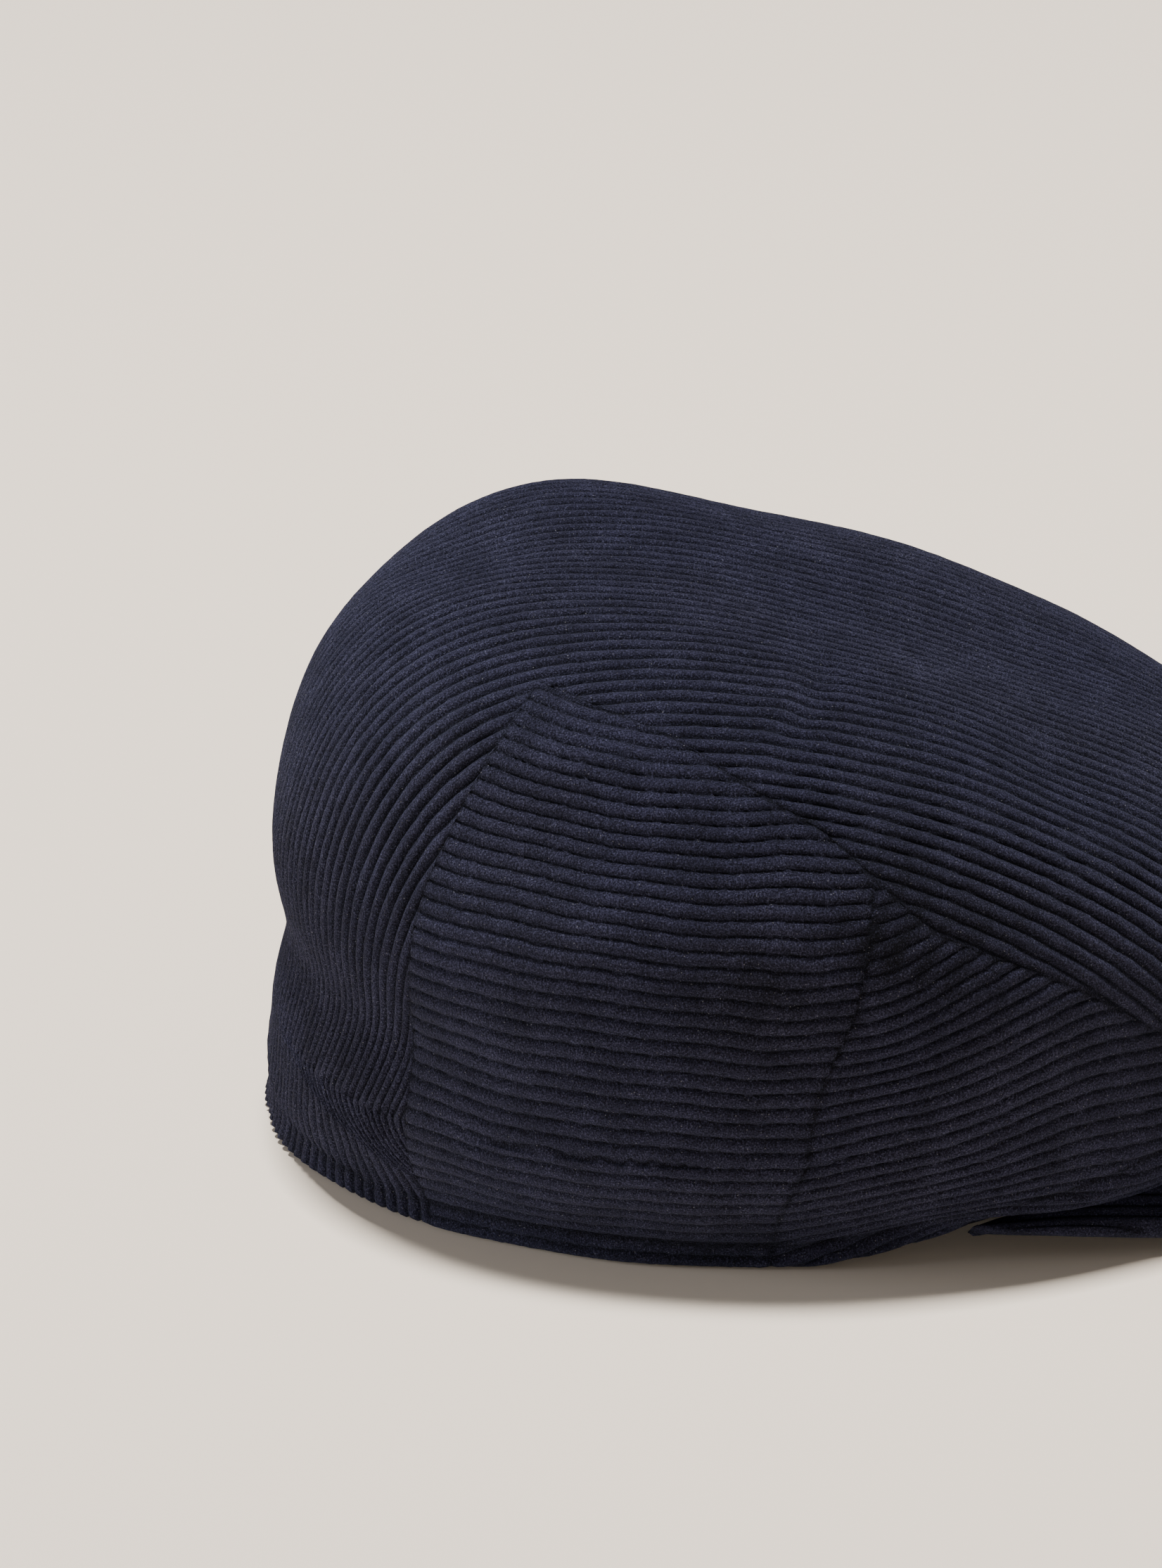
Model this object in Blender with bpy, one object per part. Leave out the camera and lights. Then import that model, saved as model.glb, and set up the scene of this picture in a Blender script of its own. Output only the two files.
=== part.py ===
"""Flat cap in corduroy with a stiff covered peak, at rest on a level surface.

The peak points to -Y, the back of the head to +Y, the wearer's left to +X, and the hem stands on
z = 0. Azimuths are in degrees about the head's centre: 0 at the wearer's right (-X), 90 at the
back, 180 at the left and -90 or 270 at the front. A depth runs from 0 at the top of the crown,
through EDGE_DEPTH where the crown is widest, to 1 at the hem. Metres.
"""

import bmesh
import bpy
import numpy as np

HEAD_CENTRE_Y = 0.0273

# Hem: an oval that stands on z = 0 behind the temples and rises to the peak's seam in front.
HEM_HALF_WIDTH = 0.0843
HEM_BACK = 0.0995
HEM_FRONT = 0.097
HEM_RISE_START_Y = 0.005
HEM_FRONT_RISE = 0.027

# Crown at its widest, and the height and slope of its top.
CROWN_HALF_WIDTH = 0.094
CROWN_MEAN_LENGTH = 0.1136
CROWN_FRONT_EXTRA = 0.0141
EDGE_HEIGHT = 0.0256
EDGE_FRONT_EXTRA = 0.002
TOP_HEIGHT = 0.1104
TOP_SLOPE = 0.228
TOP_CURVE = -0.84
SQUARENESS = 3.03
BACK_SQUARENESS = 0.13
EDGE_DEPTH = 0.8
UNDER_BULGE = ((-102.0, -90.0, -75.0, -60.0, -45.0, -33.0, -15.0, 90.0),
               (0.007, 0.004, 0.007, 0.013, 0.018, 0.017, 0.012, 0.012))

# Seams: the back seams, the seam above the peak, the depth of the side panels' upper seam by
# azimuth, and the temple seam's azimuth by its share of the way up from the hem.
BACK_SEAM_AZIMUTH = 49.5
FRONT_SEAM_AZIMUTH = -72.0
SIDE_SEAM = ((-72.0, -60.0, -50.0, -41.8, -36.6, -29.8, -22.8, -15.0, -8.2, -2.4, 5.8, 20.2,
              36.2, 46.6, 55.0),
             (0.80, 0.797, 0.775, 0.740, 0.708, 0.672, 0.646, 0.614, 0.558, 0.506, 0.468, 0.408,
              0.388, 0.386, 0.386))
TEMPLE_SEAM = ((0.0, 0.23, 0.42, 0.60, 1.0), (5.2, 3.8, 0.3, -4.4, -8.2))

# Peak: its tips, its outline, and the height of its lower outer edge.
PEAK_TIP_AZIMUTH = -21.0
PEAK_OUTLINE = ((-102.0, -90.0, -78.0, -65.0, -50.0, -41.0, -31.0, -21.0),
                (0.1525, 0.155, 0.1525, 0.1435, 0.1225, 0.107, 0.0975, 0.0880))
PEAK_EDGE_HEIGHT = ((-115.0, -90.0, -65.0, -50.0, -41.0, -31.0, -21.0),
                    (0.0060, 0.0170, 0.0060, 0.0008, 0.0024, 0.0044, 0.0058))
PEAK_THICKNESS = 0.0046
PEAK_TIP_THICKNESS = 0.0015
PEAK_COVER_SHARE = 0.26
PEAK_LAYER_GAP = 0.11
PEAK_DROP = 0.0006
PEAK_SAG = 0.0006
BOARD_TIP_AZIMUTH = -33.0
BOARD_INSET = 0.0015

# Cloth thicknesses, and the gap kept between neighbouring pieces.
CORDUROY = 0.0013
LINING = 0.0005
SWEATBAND = 0.0010
LABEL = 0.0004
GAP = 0.0004

SWEATBAND_HEIGHT = 0.031
SWEATBAND_INSET = 0.0034
SWEATBAND_LEAN = 0.06
LINING_INSET = 0.0023
LINING_DROP = 0.0032
LINING_FOOT = 0.0015
LINING_SEAM_DEPTH = 0.45
LABEL_AZIMUTH = 112.0
LABEL_WIDTH = 0.024
LABEL_LOW = 0.014
LABEL_HIGH = 0.042

SIDE_COLUMNS = 9
BACK_COLUMNS = 10
FRONT_COLUMNS = 6
LOWER_ROWS = 8
UPPER_ROWS = 8
PEAK_COLUMNS = 28
PEAK_ROWS = 6


def clear_scene():
    for old in list(bpy.data.objects):
        bpy.data.objects.remove(old, do_unlink=True)


def material(name, color, roughness):
    made = bpy.data.materials.new(name)
    made.use_nodes = True
    shader = made.node_tree.nodes["Principled BSDF"]
    shader.inputs["Base Color"].default_value = (*color, 1.0)
    shader.inputs["Roughness"].default_value = roughness
    shader.inputs["Metallic"].default_value = 0.0
    return made


def eased(table, at):
    """A smooth curve through a table of (positions, values)."""
    xs, ys = np.array(table[0]), np.array(table[1])
    steps = np.diff(ys) / np.diff(xs)
    slopes = np.concatenate([steps[:1], (steps[:-1] + steps[1:]) / 2, steps[-1:]])
    at = np.clip(at, xs[0], xs[-1])
    i = np.clip(np.searchsorted(xs, at) - 1, 0, len(xs) - 2)
    width = xs[i + 1] - xs[i]
    f = (at - xs[i]) / width
    low = (1 + 2 * f) * (1 - f) ** 2 * ys[i] + f * (1 - f) ** 2 * width * slopes[i]
    high = f * f * (3 - 2 * f) * ys[i + 1] - f * f * (1 - f) * width * slopes[i + 1]
    return low + high


def folded(azimuth):
    """The azimuth on the wearer's right that mirrors this one, and the sign of x there."""
    turn = (azimuth + 90) % 360 - 90
    return (180 - turn, 1.0) if turn > 90 else (turn, -1.0)


def outline_angle(azimuth):
    """The angle of the crown's outline, in radians, that this azimuth meets."""
    angles = np.radians(np.linspace(-90, 90, 721))
    reach = CROWN_MEAN_LENGTH - CROWN_FRONT_EXTRA * np.sin(angles)
    met = np.degrees(np.arctan2(reach * np.sin(angles), CROWN_HALF_WIDTH * np.cos(angles)))
    return np.interp(azimuth, met, angles)


def crown_radius(angle):
    reach = CROWN_MEAN_LENGTH - CROWN_FRONT_EXTRA * np.sin(angle)
    return np.hypot(CROWN_HALF_WIDTH * np.cos(angle), reach * np.sin(angle))


def hem_radius(azimuth):
    turn = np.radians(folded(azimuth)[0])
    length = HEM_BACK if turn > 0 else HEM_FRONT
    return 1 / np.hypot(np.cos(turn) / HEM_HALF_WIDTH, np.sin(turn) / length)


def hem_height(azimuth):
    y = hem_radius(azimuth) * np.sin(np.radians(folded(azimuth)[0]))
    ahead = max(HEM_RISE_START_Y - y, 0) / (HEM_RISE_START_Y + HEM_FRONT)
    return HEM_FRONT_RISE * ahead ** 1.5


def placed(azimuth, radius, height):
    turn, side = folded(azimuth)
    turn = np.radians(turn)
    return np.array([side * radius * np.cos(turn), radius * np.sin(turn), height])


def crown_point(azimuth, depth):
    turn, _ = folded(azimuth)
    angle = outline_angle(turn)
    radius = crown_radius(angle)
    edge = EDGE_HEIGHT - EDGE_FRONT_EXTRA * np.sin(angle)
    if depth <= EDGE_DEPTH:
        out = np.sin(np.pi / 2 * depth / EDGE_DEPTH)
        power = SQUARENESS + BACK_SQUARENESS * np.sin(angle)
        y = radius * out * np.sin(np.radians(turn))
        top = TOP_HEIGHT + TOP_SLOPE * y + TOP_CURVE * y * y
        rise = max(1 - out ** power, 0) ** (1 / power)
        return placed(azimuth, radius * out, edge + (top - edge) * rise)
    hem, low = hem_radius(turn), hem_height(turn)
    y = hem * np.sin(np.radians(turn))
    ahead = np.clip((0.005 - y) / 0.065, 0, 1)
    ahead = ahead * ahead * (3 - 2 * ahead)
    behind = np.array([hem + 0.002, low + 0.010])
    before = np.array([hem + 0.5 * (radius - hem), low - 0.001])
    pull = behind + ahead * (before - behind)
    drop = eased(UNDER_BULGE, turn)
    corners = np.array([[radius, edge], [radius, edge - drop], pull, [hem, low]])
    t = (depth - EDGE_DEPTH) / (1 - EDGE_DEPTH)
    weights = np.array([(1 - t) ** 3, 3 * t * (1 - t) ** 2, 3 * t * t * (1 - t), t ** 3])
    return placed(azimuth, *(weights @ corners))


def surface_normal(surface, azimuth, depth):
    """The outward direction of a surface that is a point for every azimuth and depth."""
    if depth < 0.02:
        return np.array([0, -TOP_SLOPE, 1]) / np.hypot(1, TOP_SLOPE)
    down = surface(azimuth, min(depth + 0.004, 1)) - surface(azimuth, depth - 0.004)
    along = surface(azimuth + 0.5, depth) - surface(azimuth - 0.5, depth)
    normal = np.cross(down, along)
    outward = placed(azimuth, 1, 0)
    if normal @ outward + normal[2] * (depth < EDGE_DEPTH / 2) * 9 < 0:
        normal = -normal
    if depth > 0.999 and hem_height(azimuth) < 1e-6:
        normal[2] = 0
    return normal / np.linalg.norm(normal)


def lining_point(azimuth, depth):
    """The lining hangs inside the crown, and runs straight from its widest line to the hem."""
    above = min(depth, EDGE_DEPTH)
    inset = LINING_INSET + LINING_DROP * np.clip((0.70 - above) / 0.20, 0, 1)
    point = crown_point(azimuth, above) - inset * surface_normal(crown_point, azimuth, above)
    if depth <= EDGE_DEPTH:
        return point
    share = (depth - EDGE_DEPTH) / (1 - EDGE_DEPTH)
    low = hem_height(azimuth) + LINING_FOOT
    foot = placed(azimuth, hem_radius(azimuth) - LINING_INSET, low)
    return point + share * (foot - point)


def seam_depth(azimuth):
    return eased(SIDE_SEAM, folded(azimuth)[0])


def depth_gap(azimuth, depth):
    step = crown_point(azimuth, depth + 0.01) - crown_point(azimuth, depth)
    return GAP * 0.01 / np.linalg.norm(step)


def sheet(name, outer, inner, faces, made_of):
    """A closed solid from a sheet's two sides and the faces that both share."""
    count = len(outer)
    uses = {}
    for face in faces:
        for a, b in zip(face, face[1:] + face[:1]):
            uses[(a, b)] = True
    rims = [(a, b) for a, b in uses if (b, a) not in uses]
    below = [tuple(i + count for i in reversed(face)) for face in faces]
    sides = [(b, a, a + count, b + count) for a, b in rims]
    shift = np.array([0, HEAD_CENTRE_Y, 0])
    points = [tuple(p + shift) for p in [*outer, *inner]]
    mesh = bpy.data.meshes.new(name)
    mesh.from_pydata(points, [], list(faces) + below + sides)
    mesh.materials.append(made_of)
    obj = bpy.data.objects.new(name, mesh)
    bpy.context.scene.collection.objects.link(obj)
    work = bmesh.new()
    work.from_mesh(mesh)
    loose = [vertex for vertex in work.verts if not vertex.link_faces]
    bmesh.ops.delete(work, geom=loose, context="VERTS")
    bmesh.ops.recalc_face_normals(work, faces=work.faces)
    work.to_mesh(mesh)
    work.free()
    mesh.shade_smooth()
    mesh.set_sharp_from_angle(angle=np.radians(40))
    return obj


def grid_faces(columns, rows, closed=False):
    """Quads of a grid whose points are stored column by column."""
    last = columns if closed else columns - 1
    return [(i * rows + j, ((i + 1) % columns) * rows + j,
             ((i + 1) % columns) * rows + j + 1, i * rows + j + 1)
            for i in range(last) for j in range(rows - 1)]


def shaped_sheet(name, surface, spots, faces, made_of, thickness):
    """A sheet whose outer side runs through (azimuth, depth) spots of a surface."""
    outer = np.array([surface(*spot) for spot in spots])
    normals = np.array([surface_normal(surface, *spot) for spot in spots])
    return sheet(name, outer, outer - thickness * normals, faces, made_of)


def temple_azimuth(share):
    return eased(TEMPLE_SEAM, share)


def side_seam_azimuths():
    corner = temple_azimuth(1.0)
    back = np.linspace(BACK_SEAM_AZIMUTH, corner, SIDE_COLUMNS + 1)
    front = np.linspace(corner, FRONT_SEAM_AZIMUTH, SIDE_COLUMNS + 1)
    return np.concatenate([back, front[1:]])


def top_panel(cloth):
    """The one piece from the nape over the top to the seam above the peak."""
    side = side_seam_azimuths()
    back = np.linspace(180 - BACK_SEAM_AZIMUTH, BACK_SEAM_AZIMUTH, BACK_COLUMNS + 1)[1:-1]
    front = np.linspace(FRONT_SEAM_AZIMUTH, -180 - FRONT_SEAM_AZIMUTH, FRONT_COLUMNS + 1)[1:-1]
    azimuths = np.concatenate([side, front, (-180 - side)[::-1], back - 360])
    spots = []
    for azimuth in azimuths:
        turn = folded(azimuth)[0]
        start = seam_depth(np.clip(turn, FRONT_SEAM_AZIMUTH, BACK_SEAM_AZIMUTH))
        lower = np.linspace(1, start, LOWER_ROWS + 1)
        upper = np.linspace(start, 0, UPPER_ROWS + 1)[1:-1]
        spots += [(azimuth, depth) for depth in [*lower, *upper]]
    rows = LOWER_ROWS + UPPER_ROWS
    faces = []
    sides = len(side) - 1
    for face in grid_faces(len(azimuths), rows, True):
        column, row = divmod(face[0], rows)
        at_side = column < sides or sides + FRONT_COLUMNS <= column < 2 * sides + FRONT_COLUMNS
        if not (at_side and row < LOWER_ROWS):
            faces.append(face)
    spots.append((90.0, 0.0))
    for i in range(len(azimuths)):
        faces.append((i * rows + rows - 1, ((i + 1) % len(azimuths)) * rows + rows - 1,
                      len(spots) - 1))
    return shaped_sheet("top_panel", crown_point, spots, faces, cloth, CORDUROY)


def side_panel(name, cloth, start, end, left):
    """A panel between two seams that cross the side, each an azimuth for every share of height."""
    spots = []
    for across in np.linspace(0, 1, SIDE_COLUMNS + 1):
        for share in np.linspace(0, 1, LOWER_ROWS + 1):
            first, last = start(share), end(share)
            azimuth = first + across * (last - first)
            low = 1 + share * (seam_depth(azimuth) - 1)
            room = np.degrees(GAP / 0.08)
            azimuth += room * (0.8 if across == 0 else -0.8 if across == 1 else 0) * \
                np.sign(last - first)
            if share == 1:
                low += 1.2 * depth_gap(azimuth, low)
            spots.append((180 - azimuth if left else azimuth, low))
    faces = grid_faces(SIDE_COLUMNS + 1, LOWER_ROWS + 1)
    return shaped_sheet(name, crown_point, spots, faces, cloth, CORDUROY)


def side_panels(cloth):
    back = lambda share: BACK_SEAM_AZIMUTH
    front = lambda share: FRONT_SEAM_AZIMUTH
    for side, left in (("right", False), ("left", True)):
        side_panel(f"back_side_panel_{side}", cloth, back, temple_azimuth, left)
        side_panel(f"front_side_panel_{side}", cloth, temple_azimuth, front, left)


def lining(cloth):
    azimuths = np.linspace(-90, 270, 41)[:-1]
    depths = np.linspace(LINING_SEAM_DEPTH, 0, 6)[:-1]
    spots = [(azimuth, depth) for azimuth in azimuths for depth in depths]
    faces = grid_faces(len(azimuths), len(depths), True)
    spots.append((90.0, 0.0))
    for i in range(len(azimuths)):
        faces.append((i * len(depths) + len(depths) - 1,
                      ((i + 1) % len(azimuths)) * len(depths) + len(depths) - 1, len(spots) - 1))
    shaped_sheet("lining_crown", lining_point, spots, faces, cloth, LINING)
    for side, first, last in (("right", -90, 90), ("left", 90, 270)):
        azimuths = np.linspace(first + 0.3, last - 0.3, 21)
        depths = np.linspace(1.0, LINING_SEAM_DEPTH + 0.006, 9)
        spots = [(azimuth, depth) for azimuth in azimuths for depth in depths]
        faces = grid_faces(len(azimuths), len(depths))
        shaped_sheet(f"lining_side_{side}", lining_point, spots, faces, cloth, LINING)


def band_sheet(name, azimuths, inset, low, high, thickness, made_of, closed):
    """A strip that stands inside the hem, leaning in, between two heights above it."""
    outer, inner = [], []
    for azimuth in azimuths:
        for height in np.linspace(low, high, 3):
            radius = hem_radius(azimuth) - inset - SWEATBAND_LEAN * height
            z = hem_height(azimuth) + height
            outer.append(placed(azimuth, radius, z))
            inner.append(placed(azimuth, radius - thickness, z))
    return sheet(name, np.array(outer), np.array(inner),
                 grid_faces(len(azimuths), 3, closed), made_of)


def sweatband(ribbon):
    azimuths = np.linspace(-90, 270, 61)[:-1]
    band_sheet("sweatband", azimuths, SWEATBAND_INSET, 0.0012, SWEATBAND_HEIGHT, SWEATBAND,
               ribbon, True)


def care_label(paper):
    half = np.degrees(LABEL_WIDTH / 2 / HEM_BACK)
    azimuths = np.linspace(LABEL_AZIMUTH - half, LABEL_AZIMUTH + half, 5)
    inset = SWEATBAND_INSET + SWEATBAND + GAP
    band_sheet("care_label", azimuths, inset + 0.0004, LABEL_LOW, LABEL_HIGH, LABEL, paper, False)


def peak_top(azimuth, radius):
    """Height of the peak's upper side, and its thickness there."""
    turn = folded(azimuth)[0]
    full = np.clip((PEAK_TIP_AZIMUTH - turn) / 22, 0, 1)
    thick = PEAK_TIP_THICKNESS + (PEAK_THICKNESS - PEAK_TIP_THICKNESS) * full
    near = hem_radius(azimuth)
    across = (radius - near) / (eased(PEAK_OUTLINE, turn) - near)
    root = hem_height(azimuth) - PEAK_DROP
    edge = eased(PEAK_EDGE_HEIGHT, turn) + thick
    sag = PEAK_SAG * np.sin(np.pi * across) * full
    return root + (edge - root) * across - sag, thick


def peak_layer(name, made_of, top_share, low_share, azimuths, inset):
    """A layer of the peak between two shares of its thickness, from tip to tip."""
    outer, inner = [], []
    for azimuth in azimuths:
        near = hem_radius(azimuth) + 0.0006 + inset
        far = eased(PEAK_OUTLINE, folded(azimuth)[0]) - inset
        for radius in np.linspace(near, far, PEAK_ROWS):
            z, thick = peak_top(azimuth, radius)
            outer.append(placed(azimuth, radius, z - top_share * thick))
            inner.append(placed(azimuth, radius, z - low_share * thick))
    faces = grid_faces(len(azimuths), PEAK_ROWS)
    return sheet(name, np.array(outer), np.array(inner), faces, made_of)


def peak(cloth, board):
    azimuths = np.linspace(PEAK_TIP_AZIMUTH, -180 - PEAK_TIP_AZIMUTH, PEAK_COLUMNS + 1)
    stiff = [azimuth for azimuth in azimuths if folded(azimuth)[0] < BOARD_TIP_AZIMUTH]
    cover, gap = PEAK_COVER_SHARE, PEAK_LAYER_GAP
    peak_layer("peak_top_cover", cloth, 0.0, cover, azimuths, 0.0)
    peak_layer("peak_board", board, cover + gap, 1 - cover - gap, stiff, BOARD_INSET)
    peak_layer("peak_under_cover", cloth, 1 - cover, 1.0, azimuths, 0.0)


def build():
    clear_scene()
    corduroy = material("navy_corduroy", (0.024, 0.025, 0.041), 0.95)
    satin = material("lining_satin", (0.018, 0.019, 0.030), 0.45)
    ribbon = material("sweatband_ribbon", (0.012, 0.012, 0.018), 0.75)
    white = material("label_cloth", (0.60, 0.60, 0.57), 0.80)
    plastic = material("peak_board_plastic", (0.50, 0.50, 0.48), 0.50)
    top_panel(corduroy)
    side_panels(corduroy)
    peak(corduroy, plastic)
    lining(satin)
    sweatband(ribbon)
    care_label(white)


build()
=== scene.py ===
import math

import bpy
import numpy as np
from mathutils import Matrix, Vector


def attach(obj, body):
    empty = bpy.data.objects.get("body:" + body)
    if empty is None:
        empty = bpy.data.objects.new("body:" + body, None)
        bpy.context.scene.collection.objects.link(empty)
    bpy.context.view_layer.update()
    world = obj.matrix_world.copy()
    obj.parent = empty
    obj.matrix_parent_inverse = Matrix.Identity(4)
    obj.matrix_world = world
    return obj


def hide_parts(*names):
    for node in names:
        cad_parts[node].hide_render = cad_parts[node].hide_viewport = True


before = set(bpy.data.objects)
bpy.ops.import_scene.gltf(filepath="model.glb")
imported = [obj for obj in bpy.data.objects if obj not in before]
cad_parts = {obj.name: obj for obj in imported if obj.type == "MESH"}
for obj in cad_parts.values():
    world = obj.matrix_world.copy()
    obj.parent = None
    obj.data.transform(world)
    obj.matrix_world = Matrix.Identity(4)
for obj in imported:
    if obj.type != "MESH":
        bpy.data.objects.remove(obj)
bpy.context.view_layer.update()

# The cap's shape, as the CAD part has it. Azimuths are in degrees about the head's centre: 0 at
# the wearer's right (-X), 90 at the back, -90 in front. A depth runs from 0 at the crown's top to
# 1 at the hem. Lengths are in metres, and y is from the head's centre until a mesh is made.
HEAD_CENTRE_Y = 0.0273
HEM_HALF_WIDTH = 0.0843
HEM_BACK = 0.0995
HEM_FRONT = 0.097
HEM_RISE_START_Y = 0.005
HEM_FRONT_RISE = 0.027
CROWN_HALF_WIDTH = 0.094
CROWN_MEAN_LENGTH = 0.1136
CROWN_FRONT_EXTRA = 0.0141
EDGE_HEIGHT = 0.0256
EDGE_FRONT_EXTRA = 0.002
TOP_HEIGHT = 0.1104
TOP_SLOPE = 0.228
TOP_CURVE = -0.84
SQUARENESS = 3.03
BACK_SQUARENESS = 0.13
EDGE_DEPTH = 0.8
UNDER_BULGE = ((-102.0, -90.0, -75.0, -60.0, -45.0, -33.0, -20.0, -5.0, 90.0),
               (0.007, 0.004, 0.009, 0.018, 0.025, 0.023, 0.016, 0.012, 0.012))
BACK_SEAM_LINE = ((0.38, 0.48, 0.60, 0.70, 1.0), (46.6, 46.3, 48.5, 50.3, 50.6))
FRONT_SEAM = -72.0
BACK_SEAM_LENGTH = 0.614
SIDE_SEAM = ((-72.0, -60.0, -50.0, -41.8, -36.6, -29.8, -22.8, -15.0, -8.2, -2.4, 5.8, 20.2,
              36.2, 46.6, 55.0),
             (0.80, 0.797, 0.775, 0.740, 0.708, 0.672, 0.646, 0.614, 0.558, 0.506, 0.468, 0.408,
              0.388, 0.386, 0.386))
TEMPLE_SEAM = ((0.0, 0.23, 0.42, 0.60, 1.0), (5.2, 3.8, 0.3, -4.4, -8.2))
WALL_FOOT_OUT = 0.002
WALL_FOOT_HEIGHT = 0.010
FRONT_FOOT_DROP = 0.011
FRONT_WALL_BLEND = 0.065
TEMPLE_FOOT_DROP = (0.0055, -42, 16)
HEM_CURL_HEIGHT = 0.016
PEAK_TIP = -21.0
PEAK_OUTLINE = ((-102.0, -90.0, -78.0, -65.0, -50.0, -41.0, -31.0, -21.0),
                (0.1525, 0.155, 0.1525, 0.1445, 0.1250, 0.110, 0.0995, 0.0885))
PEAK_EDGE_HEIGHT = ((-115.0, -90.0, -65.0, -50.0, -41.0, -31.0, -21.0),
                    (0.0060, 0.0170, 0.0060, 0.0008, 0.0024, 0.0044, 0.0058))
PEAK_THICKNESS = 0.0046
PEAK_TIP_THICKNESS = 0.0022
PEAK_THICKENING = 22
PEAK_ROOT_DROP = 0.0004
PEAK_ROOT_OUT = 0.0006
PEAK_SAG = 0.0006
PEAK_ROLL = 0.0022
PEAK_FADE = 0.0012

# Lining, sweatband and label. The stitches of the sweatband are at two heights.
SWEATBAND_HEIGHT = 0.031
SWEATBAND_INSET = 0.0034
SWEATBAND_LEAN = 0.06
SWEATBAND_LOW = 0.0012
SWEATBAND_RIBS = 360
SWEATBAND_RIB = 0.00010
SWEATBAND_STITCHES = (0.0040, 0.0285)
SWEATBAND_STITCH_WIDTH = 0.0006
SWEATBAND_STITCH_DEPTH = 0.00025
LINING_INSET = 0.0023
LINING_DROP = 0.0032
LINING_FOLD = 0.00035
LINING_FOOT = (0.0007, 0.0025)
LINING_SEAM_DEPTH = 0.45
LINING_SEAM_GAP = 0.006
LABEL_AZIMUTH = 112.0
LABEL_WIDTH = 0.024
LABEL_LOW = 0.014
LABEL_HIGH = 0.042
LABEL_INSET = 0.0018
LABEL_CURL = 0.0009
LABEL_RIPPLE = 0.00008
LABEL_EDGE = 0.00012

# Corduroy: 8 wales to the inch, each of 8 steps of mesh, with a narrow groove between them. A
# lower power makes a wale fuller and its groove narrower.
PITCH = 0.003175
STEPS = 8
STEP = PITCH / STEPS
RELIEF = 0.00095
SIDE_POWER = 0.40
TOP_POWER = 0.55
TOP_DEEPER = 1.2
PEAK_RELIEF = 0.9
WALE_SWAY = 0.00022
CORNER_SWAY = 0.0006
WALE_WANDER = 0.55
WALE_UNEVENNESS = 0.16
TUFT_HEIGHT = 0.00011
CRUSH_LOSS = 0.75

# Seams and hem.
SEAM_SINK = 0.00035
SEAM_REACH = 0.0010
SEAM_SINK_REACH = 0.0013
SEAM_SHADE_REACH = 0.0018
PUCKER_RATE = 1750
QUIET_SEAM_START = 0.008
QUIET_SEAM_BLEND = 0.012
FRONT_TILT = 0.030
HEM_ROLL = 0.0011
HEM_TURN = 0.009
STITCH_HEIGHT = 0.0050
STITCH_SHADE = 0.0007


def eased(table, place):
    """A smooth curve through a table of (positions, values)."""
    xs, ys = np.array(table[0]), np.array(table[1])
    steps = np.diff(ys) / np.diff(xs)
    slopes = np.concatenate([steps[:1], (steps[:-1] + steps[1:]) / 2, steps[-1:]])
    place = np.clip(place, xs[0], xs[-1])
    i = np.clip(np.searchsorted(xs, place) - 1, 0, len(xs) - 2)
    width = xs[i + 1] - xs[i]
    f = (place - xs[i]) / width
    low = (1 + 2 * f) * (1 - f) ** 2 * ys[i] + f * (1 - f) ** 2 * width * slopes[i]
    high = f * f * (3 - 2 * f) * ys[i + 1] - f * f * (1 - f) * width * slopes[i + 1]
    return low + high


def smooth(x):
    x = np.clip(x, 0, 1)
    return x * x * (3 - 2 * x)


def bump(x, centre, width):
    return np.exp(-((x - centre) / width) ** 2)


def at(centre, width):
    """A weight for a table of pushes: 1 at the centre, fading over the width."""
    return lambda x: bump(x, centre, width)


def over(start, length):
    """A weight for a table of pushes: 0 up to the start, and 1 from a length past it."""
    return lambda x: smooth((x - start) / length)


def anywhere(x):
    return np.ones_like(x)


# ------------------------------------------------------------------ shape, on the wearer's right

OUTLINE = np.radians(np.linspace(-90, 90, 1441))
OUTLINE_REACH = CROWN_MEAN_LENGTH - CROWN_FRONT_EXTRA * np.sin(OUTLINE)
OUTLINE_AZIMUTH = np.degrees(np.arctan2(OUTLINE_REACH * np.sin(OUTLINE),
                                        CROWN_HALF_WIDTH * np.cos(OUTLINE)))


def hem_radius(azimuth):
    turn = np.radians(azimuth)
    length = np.where(turn > 0, HEM_BACK, HEM_FRONT)
    return 1 / np.hypot(np.cos(turn) / HEM_HALF_WIDTH, np.sin(turn) / length)


def hem_height(azimuth):
    y = hem_radius(azimuth) * np.sin(np.radians(azimuth))
    ahead = np.maximum(HEM_RISE_START_Y - y, 0) / (HEM_RISE_START_Y + HEM_FRONT)
    return HEM_FRONT_RISE * ahead ** 1.5


def placed(azimuth, radius, height):
    turn = np.radians(azimuth)
    return np.stack([-radius * np.cos(turn), radius * np.sin(turn),
                     height + 0 * turn], axis=-1)


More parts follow.
